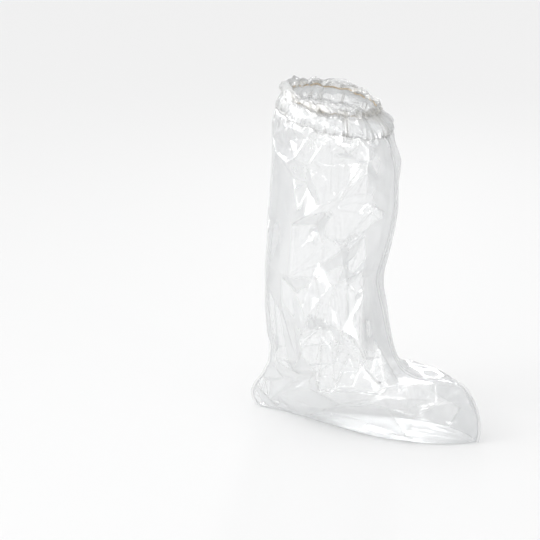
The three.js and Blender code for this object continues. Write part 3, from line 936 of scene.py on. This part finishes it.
class OverbootSizes(bpy.types.PropertyGroup):
    """Sizes of the overboot's pieces"""

    film: bpy.props.FloatProperty(
        name="Film", description="Thickness of the film's wall",
        default=0.0003, min=0.0001, max=0.001, unit="LENGTH", precision=5
    )
    fin: bpy.props.FloatProperty(
        name="Welded Edge", description="How far the welded edge stands out from the panels",
        default=0.004, min=0.001, max=0.008, **LENGTH
    )
    facet_size: bpy.props.FloatProperty(
        name="Facet Size", description="Distance between the corners of the film's large facets",
        default=0.028, min=0.01, max=0.08, **LENGTH
    )
    facet_depth: bpy.props.FloatProperty(
        name="Facet Depth", description="How far the corners of the facets stand in or out",
        default=0.0018, min=0.0, max=0.005, **LENGTH
    )
    crease_share: bpy.props.FloatProperty(
        name="Crease Share", description="Height of the creases over the height that they are listed with",
        default=1.4, min=0.0, max=2.5
    )
    pleats: bpy.props.IntProperty(
        name="Gathers", description="Gathers along the hem of each panel",
        default=20, min=8, max=40
    )
    ruffle: bpy.props.FloatProperty(
        name="Ruffle", description="Height of the ruffle over the elastic",
        default=0.0065, min=0.002, max=0.015, **LENGTH
    )
    elastic: bpy.props.FloatProperty(
        name="Elastic", description="Half the width of the elastic thread",
        default=0.0012, min=0.0005, max=0.003, **LENGTH
    )


class OverbootColours(bpy.types.PropertyGroup):
    """Colours of the overboot and its floor"""

    film: bpy.props.FloatVectorProperty(
        name="Film", description="Colour of the clear film's skin",
        default=(0.90, 0.905, 0.91), **COLOUR
    )
    gathered: bpy.props.FloatVectorProperty(
        name="Gathered Film", description="Colour of the film bunched up round the elastic",
        default=(0.56, 0.54, 0.49), **COLOUR
    )
    milk: bpy.props.FloatVectorProperty(
        name="Milky Film", description="Colour of creased or welded film",
        default=(0.80, 0.80, 0.80), **COLOUR
    )
    elastic: bpy.props.FloatVectorProperty(
        name="Elastic", description="Colour of the elastic thread",
        default=(0.76, 0.61, 0.42), **COLOUR
    )
    floor: bpy.props.FloatVectorProperty(
        name="Floor", description="Colour of the floor",
        default=(0.86, 0.86, 0.86), **COLOUR
    )


# Pieces

def film_piece(name, node, kind, x, faces, flat, masks):
    """A sheet of film with its wall, in a CAD node's place."""
    piece = grid_mesh(name, place(x), faces, flat, masks)
    give_wall(piece, bpy.context.scene.overboot_sizes.film)
    stand_for(piece, node, film_material(kind))


class OVERBOOT_OT_panels(bpy.types.Operator):
    """Hang the right and left side panels between the welds, the sole and the hem"""

    bl_idname = "overboot.panels"
    bl_label = "Side Panels"
    bl_options = {"REGISTER", "UNDO"}

    def execute(self, context):
        x = film_panels(context.scene.overboot_sizes)
        if not np.isfinite(x).all():
            raise RuntimeError("the film panels did not settle")
        folds = np.stack([fold_lines(side) for side in SIDES])
        crease = np.maximum(crease_mask(x), 0.8 * folds)
        level = panel_grid(ROWS, COLUMNS)[0]
        seal = np.clip((level - SEAL_START) / SEAL_RISE, 0, 1)
        for i, node in enumerate(("right_panel", "left_panel")):
            flat = laid_out(node, *flat_grid())
            faces = grid_faces(ROWS, COLUMNS, flip=node == "left_panel")
            masks = {"crease": crease[i], "weld": seal}
            film_piece(f"{node}_film", node, "panel", x[i], faces, flat, masks)
        return {"FINISHED"}


def sole_surface():
    """The sole over across, from -1 on the right to 1 on the left, and around. Each point lies
    between the panels' lower edges, by its share across. Near them it is 1.15 mm up, and inside
    them 0.42 mm, with random facets and a bell-shaped fold along the middle. Also gives how
    sharply it is bent."""
    line, run = np.linspace(-1, 1, SOLE_ROWS), np.linspace(0, 1, SOLE_COLUMNS)
    across, around = np.meshgrid(line, run, indexing="ij")
    right, left = (plain_side(side, 0 * around, around) for side in SIDES)
    x = np.where((across < 0)[..., None], right, left)
    x[..., 1] *= np.abs(across)
    net = facet_net(-1, np.random.default_rng(SOLE_SEED), spacing=30, depth=0.16)
    wrinkle = finer(finer(net, SOLE_ROWS, 0), SOLE_COLUMNS, 1)
    inside = ease(1 - np.abs(across), 0, 0.12)
    low = np.clip(0.42 + wrinkle + 0.45 * bell(across, 0.05), 0.32, 1.15)
    x[..., 2] = 1.15 * (1 - inside) + inside * low
    bent = np.linalg.norm(bend(x[None])[0], axis=-1)
    return x, np.clip(bent * 3 - 0.1, 0, 1)


class OVERBOOT_OT_sole(bpy.types.Operator):
    """Lay the folded sole between the two panels, with its middle fold and its wrinkles"""

    bl_idname = "overboot.sole"
    bl_label = "Sole"
    bl_options = {"REGISTER", "UNDO"}

    def execute(self, context):
        x, crease = sole_surface()
        faces = grid_faces(*crease.shape, flip=True)
        flat = laid_out("sole", x[..., 0], x[..., 1])
        masks = {"crease": crease, "weld": np.zeros_like(crease)}
        film_piece("sole_film", "sole", "sole", x, faces, flat, masks)
        return {"FINISHED"}


def weld_line(front, level):
    """The edge that a weld runs along, as x and z, and the direction away from the film. Near
    the sole that turns level."""
    column, sign = (1, 1) if front else (3, -1)
    line = np.stack([section(column, level), section(column + 1, level)], -1)
    along = np.gradient(line, axis=0)
    along[0], along[-1] = (0, 1), (TOP_SLOPE, 1)
    along = unit(along, 0)
    out = np.stack([along[:, 1], -along[:, 0]], -1) * sign
    near_sole = 1 - ease(level, 0, 0.06)[:, None]
    return line, unit(out * (1 - near_sole) + np.array([sign, 0.0]) * near_sole, 0)


def weld_strip(front, width):
    """A welded edge as a closed loop of cross sections. Its middle line is the panels' edge, it
    reaches 1 mm in and its width out, and it ripples sideways by two sines that grow towards
    the free edge, which is itself cut a little unevenly. Gives the points, how far out and how
    far along each is, and the masks of the weld and of its creases."""
    level = np.linspace(0, 1, WELD_ROWS)
    line, out = weld_line(front, level)
    rng = np.random.default_rng(FRONT_SEED if front else BACK_SEED)
    cut = smooth_noise(rng, WELD_ROWS, 3, high=90, wide=1)[:, 1] * 0.12
    length = np.cumsum(np.r_[0, np.linalg.norm(np.diff(line, axis=0), axis=1)])
    ripple = np.sin(length / 4.2 + 2 * np.sin(length / 31))
    ripple = ripple + 0.6 * np.sin(length / 2.1 + 1.3 * np.sin(length / 17))
    strength = 0.25 + 0.75 * ease(smooth_noise(rng, WELD_ROWS, 3, high=16, wide=1)[:, 1], -0.6, 1.2)
    quiet = free(level, 0.03, 0.02)
    reach = np.array([-1.0, 0.0, 0.35 * width, 0.7 * width, width])
    reach = reach + np.where(reach > width * 0.6, 1, 0) * (cut * quiet)[:, None]
    half = np.array([0.24, 0.30, 0.20, 0.15, 0.12])
    side = 0.55 * (ripple * strength * quiet)[:, None] * np.clip(reach / width, 0, 1.2) ** 1.3
    reach = np.concatenate([reach, reach[:, ::-1]], 1)
    y = np.concatenate([side - half, (side + half)[:, ::-1]], 1)
    x = line[:, None, 0] + out[:, None, 0] * reach
    z = np.maximum(line[:, None, 1] + out[:, None, 1] * reach + SOLE_TOP, 0.05)
    z[-1] += CUFF_LEAN * y[-1]
    seal = bell(reach - 1.1, 0.8)
    crease = (strength * quiet * np.abs(ripple) * 0.35)[:, None] + 0 * y
    return np.stack([x, y, z], -1), (reach, length[:, None]), seal, crease


def end_caps(rows, columns):
    """Four-cornered faces that close the first and the last loop of a strip, each between a
    point and the one opposite it, and the next pair."""
    k = np.arange(columns // 2 - 1)
    cap = np.stack([k, k + 1, columns - 2 - k, columns - 1 - k], -1)
    return cap, cap + (rows - 1) * columns


class OVERBOOT_OT_welds(bpy.types.Operator):
    """Make the welded edges that join the panels down the front and the back"""

    bl_idname = "overboot.welds"
    bl_label = "Welded Edges"
    bl_options = {"REGISTER", "UNDO"}

    def execute(self, context):
        for node, front in (("front_weld", True), ("back_weld", False)):
            x, (reach, length), seal, crease = weld_strip(front, context.scene.overboot_sizes.fin * 1000)
            first, last = end_caps(*seal.shape)
            faces = grid_faces(*seal.shape, around=True, flip=not front)
            ends = [first[:, ::-1], last] if front else [first, last[:, ::-1]]
            masks = {"crease": crease, "weld": seal}
            flat = laid_out(node, reach, length)
            piece = grid_mesh(f"{node}_edge", place(x), np.concatenate([faces, *ends]), flat, masks)
            stand_for(piece, node, film_material("weld"))
        return {"FINISHED"}


def hem_rim(pleats):
    """The line that the hem is welded along, which is the top edge of both panels with its
    gathers, once round from the back over the right side. Gives for each place the direction to
    it from the middle of the elastic, its distance that way, and the gathers' and weld's waves."""
    around = np.linspace(0, 1, HALF_ROUND + 1)

    def once_round(right, left):
        return np.concatenate([right[:-1], left[::-1][:-1]])

    ring = once_round(*(plain_side(side, np.ones_like(around), around) for side in SIDES))
    wave = once_round(*(gather_wave(side, around, pleats) for side in SIDES))
    dip = once_round(*(weld_wave(side, around) for side in SIDES))
    away = ring - ORIGIN
    away -= (away @ CUFF_AXIS)[:, None] * CUFF_AXIS
    radius = np.linalg.norm(away, axis=1)
    return away / radius[:, None], radius, wave, dip


def ring_noise(rng, columns, cells):
    """Random values round a closed ring, smooth over a number of cells. A slope is taken off so
    that the ends meet."""
    line = smooth_noise(rng, 3, columns + 1, high=1, wide=cells)[1]
    line = line - (line[-1] - line[0]) * np.linspace(0, 1, columns + 1)
    return line[:-1]


def ridged(line):
    """Sharp ridges where the values pass zero, with round valleys between them."""
    return np.clip(0.6 - np.abs(line), -0.7, 0.6)


def twisted(line, up, steps):
    """A ring's values on every row, carried on round the ring by so many steps for each
    millimetre up, as the strands of a rope are."""
    count = len(line)
    q = np.arange(count) + up * steps
    i = np.floor(q).astype(int)
    return line[i % count] * (1 - q + i) + line[(i + 1) % count] * (q - i)


def hem_crumple(rng, spacing, depth):
    """Small flat facets for the hem, taller than wide, from a strip of a facet net."""
    net = facet_net(-1, rng, spacing, depth, rows=HEM_NET, columns=2 * HALF_ROUND + 1, even=True)
    return finer(net[HEM_STRIP], HEM_ROWS, 0)[:, :-1]


def hem_form(v, up, share, roll, back, radius):
    """The hem's distance from the middle of the elastic without its folds: the elastic's ring,
    a flare that reaches the weld's line by the power of 1.9, a bulge along the roll, outwards
    outside and inwards inside, and a puff at the back."""
    flare = (radius - ELASTIC_RING - RING_CLEAR) * (1 - (1 - np.clip((share - 0.1) / 0.9, 0, 1)) ** 1.9)
    bulge = np.where(v < 0, 4.6 * (1 - back), -2.6) * roll * ease(np.abs(v), 0.02, 0.3)
    wall = -0.6 * ease(share, 0, 0.3) * (v > 0)
    puff = back * (4.0 + 9.0 * bell(up - 3.0, 18.0)) * ease(-v, 0.05, 0.3) * (1 - share**3)
    return ELASTIC_RING + RING_CLEAR + bulge + wall + flare + puff


def hem_surface(sizes):
    """The hem over v, from -1 at its outer edge over 0 at the fold to 1 at its inner edge, and
    over the turn round the leg. It rises from the weld to the fold by the distance from the fold
    to the power of 1.25, and stands out by its form, its gathers and small facets. The film is
    rolled round the elastic, by a bell curve of the height, into strands that run aslant. Gives
    the points, their places on the flat film, and the masks."""
    direction, radius, wave, dip = hem_rim(sizes.pleats)
    columns = len(radius)
    turn = np.arange(columns) / columns
    rng = np.random.default_rng(HEM_SEED)
    v = np.linspace(-1, 1, HEM_ROWS)[:, None]
    ruffle = sizes.ruffle * 1000
    lumps, folds, fine, cross = (ring_noise(rng, columns, cells) for cells in (24, 56, 110, 70))
    back = ((1 + np.cos(2 * np.pi * (turn - 0.05))) / 2) ** 9  # 1 at the back of the leg
    top = np.clip(ruffle + 1.2 + 1.6 * lumps + folds + 0.4 * fine + 10 * back, 3.0, 18)
    up = (top + HEM_DEPTH) * (1 - np.abs(v) ** 1.25) - HEM_DEPTH
    share = np.clip(-up / HEM_DEPTH, 0, 1)  # 1 at the weld, 0 at the elastic
    above = np.clip(up / ruffle, 0, 2.5)
    roll = bell(up - 2.5, 7.0)
    strands = 0.45 * ridged(twisted(folds, up, 3.4)) + 0.35 * ridged(twisted(cross, up, 1.2))
    strands = strands + 0.30 * twisted(fine, up, 2.2)
    slack = np.sin(np.pi * np.clip(share * 1.1, 0, 1)) * (1.3 * twisted(folds, up, 0.5) + 1.2 * lumps)
    gather = roll * (0.5 * twisted(lumps, up, 3.0) + 0.7 * twisted(folds, up, 3.4)) + slack
    gather = gather + wave * GATHER_RISE * share**0.7 + above * back * 2.2
    crumple = hem_crumple(rng, spacing=15, depth=1.1) * (1 - roll)
    crumple += hem_crumple(rng, spacing=6.5, depth=0.6) * (0.6 + 1.3 * roll)
    crumple += hem_crumple(rng, spacing=8, depth=0.8) * ease(share, 0.68, 0.85)
    lean = smooth_noise(rng, HEM_ROWS, columns, high=8, wide=150) * 0.8 * roll
    lean = lean + 0.8 * np.roll(folds, 3) * roll
    edge = np.clip((share - 0.94) / 0.06, 0, 1)
    edge = np.where(v < 0, edge, 0.85 * edge)
    out = hem_form(v, up, share, roll, back, radius)
    out = out + (gather + crumple) * (1 - edge) + edge * wave * GATHER_RISE
    up = up + dip * ease(share, 0.5, 1)
    sideways = np.cross(CUFF_AXIS, direction) * (lean * (1 - edge))[..., None]
    x = ORIGIN + direction * out[..., None] + sideways + CUFF_AXIS * up[..., None]
    ring = np.concatenate([x[:, -RING_OVERLAP:], x, x[:, :RING_OVERLAP]], 1)[None]
    x = crispen(ring, rounds=1, passes=2, alike=0.12)[0][:, RING_OVERLAP:-RING_OVERLAP]
    x += direction * (np.where(v < 0, 3.6, -2.2) * roll * ease(np.abs(v), 0, 0.2) * strands)[..., None]
    bent = np.linalg.norm(np.roll(x, 1, 1) + np.roll(x, -1, 1) - 2 * x, axis=-1)
    bead = bell(share - 0.955, 0.03) * (v < 0)
    milky = roll * np.clip(0.75 + 0.5 * strands + 0.25 * fine, 0.2, 1) * np.where(v < 0, 1 - back, 1)
    milky *= 1 - 0.9 * bell(up, 1.8) * ease(cross, 0.1, 0.8)
    masks = {"crease": np.clip(bent * 2.0 - 0.25, 0, 1), "weld": np.clip(milky + 0.35 * bead, 0, 1)}
    return x, laid_out("hem_casing", turn * HEM_ROUND, up * np.sign(v + 1e-9)), masks


class OVERBOOT_OT_hem(bpy.types.Operator):
    """Fold the hem over the elastic and gather it into a crumpled roll"""

    bl_idname = "overboot.hem"
    bl_label = "Gathered Hem"
    bl_options = {"REGISTER", "UNDO"}

    def execute(self, context):
        x, flat, masks = hem_surface(context.scene.overboot_sizes)
        faces = grid_faces(*x.shape[:2], around=True)
        film_piece("hem_casing_ruffle", "hem_casing", "hem", x, faces, flat, masks)
        return {"FINISHED"}


def elastic_surface(sizes):
    """The elastic over the angle round the thread and the turn round the leg. Its middle line is
    the ring, which waves in and out and up and down by sines, and the thread round it is an
    ellipse, 0.55 as wide as it is tall, that swells a little by a faster sine."""
    direction = hem_rim(sizes.pleats)[0]
    columns = len(direction)
    turn = np.arange(columns) / columns
    phase = 2 * np.pi * turn
    ring = ELASTIC_RING + 0.45 * np.sin(phase * 61 + 2.5 * np.sin(phase * 5) + 1.7 * np.sin(phase * 11 + 1))
    rise = np.sin(phase * 9 + 1) + 0.9 * np.sin(phase * 23 + 2 * np.sin(phase * 3))
    around = 2 * np.pi * np.arange(ELASTIC_SIDES)[:, None] / ELASTIC_SIDES
    thick = sizes.elastic * 1000
    swell = 1 + 0.12 * np.sin(phase * 122)
    out = ring + 0.55 * thick * np.cos(around) * swell
    up = rise + thick * np.sin(around) * swell
    x = ORIGIN + direction * out[..., None] + CUFF_AXIS * up[..., None]
    return x, laid_out("elastic", turn * ELASTIC_ROUND, around * thick)


class OVERBOOT_OT_elastic(bpy.types.Operator):
    """Run the elastic thread round inside the hem, drawn into small waves"""

    bl_idname = "overboot.elastic"
    bl_label = "Elastic"
    bl_options = {"REGISTER", "UNDO"}

    def execute(self, context):
        x, flat = elastic_surface(context.scene.overboot_sizes)
        faces = grid_faces(*x.shape[:2], around=True, along=True, flip=True)
        piece = grid_mesh("elastic_thread", place(x), faces, flat)
        stand_for(piece, "elastic", elastic_material(context.scene.overboot_colours))
        return {"FINISHED"}


# The stage

CAMERA_AT = (1.565204, -2.935523, 0.593942)
CAMERA_YAW, CAMERA_PITCH, CAMERA_LENS = math.radians(29.565), math.radians(14.093), 163.3
FLOOR_SIZE, FLOOR_GAP = 30.0, 0.0003  # half the floor's width, and how far it lies under the sole

# Each lamp: name, place, width and height, power, and whether it lights matt things too. Without
# that it only shines back from gloss, as a small bright lamp far away would.
LAMPS = (
    ("key", (-1.3, -1.9, 1.6), (0.9, 0.9), 6, True),
    ("glint key", (-1.3, -1.9, 1.5), (0.5, 0.8), 30, False),
    ("glint right", (1.9, -0.7, 0.7), (0.16, 1.5), 24, False),
    ("glint back", (-0.9, 1.9, 0.9), (0.2, 1.6), 24, False),
    ("glint top", (0.1, 0.2, 2.3), (0.6, 0.4), 20, False),
    ("glint left", (-2.1, -0.2, 0.4), (0.14, 1.2), 16, False),
    ("glint front", (0.5, -2.3, 1.6), (0.35, 0.35), 14, False),
    ("glint low", (0.6, -2.4, -0.1), (0.5, 0.12), 8, False),
    ("glint side", (-1.4, -2.0, 0.3), (0.18, 0.8), 15, False),
    ("glint slant", (-2.0, -1.2, 0.9), (0.25, 0.5), 14, False),
)


def camera_matrix():
    """A level camera that looks down by its pitch and is turned by its yaw from facing along Y."""
    c, s = math.cos(CAMERA_YAW), math.sin(CAMERA_YAW)
    back = Vector((s * math.cos(CAMERA_PITCH), -c * math.cos(CAMERA_PITCH), math.sin(CAMERA_PITCH)))
    right = Vector((c, s, 0))
    turn = Matrix((right, back.cross(right), back)).transposed().to_4x4()
    return Matrix.Translation(CAMERA_AT) @ turn


def add_softbox(name, at, size, power, matt, target):
    """A rectangular lamp that faces the target."""
    lamp = bpy.data.lights.new(name, "AREA")
    lamp.shape = "RECTANGLE"
    lamp.size, lamp.size_y = size
    lamp.energy = power
    holder = bpy.data.objects.new(name, lamp)
    holder.location = at
    holder.visible_diffuse = matt
    holder.rotation_euler = (target - Vector(at)).to_track_quat("-Z", "Y").to_euler()
    bpy.context.scene.collection.objects.link(holder)


def add_sun():
    """A weak and very wide sun, which lights everything evenly."""
    sun = bpy.data.lights.new("even light", "SUN")
    sun.energy, sun.angle = 0.8, math.radians(70)
    holder = bpy.data.objects.new("even light", sun)
    holder.rotation_euler = (math.radians(18), math.radians(-12), 0)
    bpy.context.scene.collection.objects.link(holder)


def studio_world():
    """Pale studio walls that get brighter upwards. The camera sees plain white instead."""
    world = bpy.data.worlds.new("studio")
    world.use_nodes = True
    n = Nodes(world.node_tree)
    sky = n.add("ShaderNodeTexCoord").outputs["Generated"]
    height = n.add("ShaderNodeSeparateXYZ", {"Vector": sky}).outputs["Z"]
    walls = n.ramp(height, 0.0, 0.6, 0.30, 0.86)
    seen = n.add("ShaderNodeLightPath").outputs["Is Camera Ray"]
    colour = n.mix(seen, walls, (0.93, 0.93, 0.93, 1))
    n.join(colour, world.node_tree.nodes["Background"].inputs["Color"])
    return world


class OVERBOOT_OT_stage(bpy.types.Operator):
    """Set up the camera, the pale floor and the soft lamps"""

    bl_idname = "overboot.stage"
    bl_label = "Stage"
    bl_options = {"REGISTER", "UNDO"}

    def execute(self, context):
        scene = context.scene
        lens = bpy.data.cameras.new("camera")
        lens.lens, lens.sensor_width, lens.clip_end = CAMERA_LENS, 36, 100
        camera = bpy.data.objects.new("camera", lens)
        scene.collection.objects.link(camera)
        camera.matrix_world = camera_matrix()
        scene.camera = camera
        scene.view_settings.view_transform = "Standard"
        scene.cycles.transparent_max_bounces = 64
        corners = np.array([(-1, -1), (1, -1), (1, 1), (-1, 1)]) * FLOOR_SIZE
        points = np.column_stack([corners, np.full(4, cad_low.z - FLOOR_GAP)])
        floor = grid_mesh("floor", points, np.array([[0, 1, 2, 3]]), corners)
        floor.data.materials.append(floor_material(scene.overboot_colours))
        for lamp in LAMPS:
            add_softbox(*lamp, (cad_low + cad_high) / 2)
        add_sun()
        scene.world = studio_world()
        return {"FINISHED"}


class OVERBOOT_PT_panel(bpy.types.Panel):
    """Lists the overboot's pieces, sizes and colours"""

    bl_idname = "OVERBOOT_PT_panel"
    bl_label = "Disposable Overboot"
    bl_space_type = "VIEW_3D"
    bl_region_type = "UI"
    bl_category = "Overboot"

    def draw(self, context):
        layout = self.layout
        for operator in OPERATORS:
            layout.operator(operator.bl_idname)
        for settings in (context.scene.overboot_sizes, context.scene.overboot_colours):
            for key in settings.__annotations__:
                layout.prop(settings, key)


OPERATORS = (
    OVERBOOT_OT_stage,
    OVERBOOT_OT_panels,
    OVERBOOT_OT_sole,
    OVERBOOT_OT_welds,
    OVERBOOT_OT_hem,
    OVERBOOT_OT_elastic,
)
CLASSES = (OverbootSizes, OverbootColours, *OPERATORS, OVERBOOT_PT_panel)


def register():
    for cls in CLASSES:
        bpy.utils.register_class(cls)
    bpy.types.Scene.overboot_sizes = bpy.props.PointerProperty(type=OverbootSizes)
    bpy.types.Scene.overboot_colours = bpy.props.PointerProperty(type=OverbootColours)


def unregister():
    del bpy.types.Scene.overboot_colours
    del bpy.types.Scene.overboot_sizes
    for cls in reversed(CLASSES):
        bpy.utils.unregister_class(cls)


def main():
    register()
    bpy.ops.overboot.stage()
    bpy.ops.overboot.panels()
    bpy.ops.overboot.sole()
    bpy.ops.overboot.welds()
    bpy.ops.overboot.hem()
    bpy.ops.overboot.elastic()


if __name__ == "__main__":
    main()
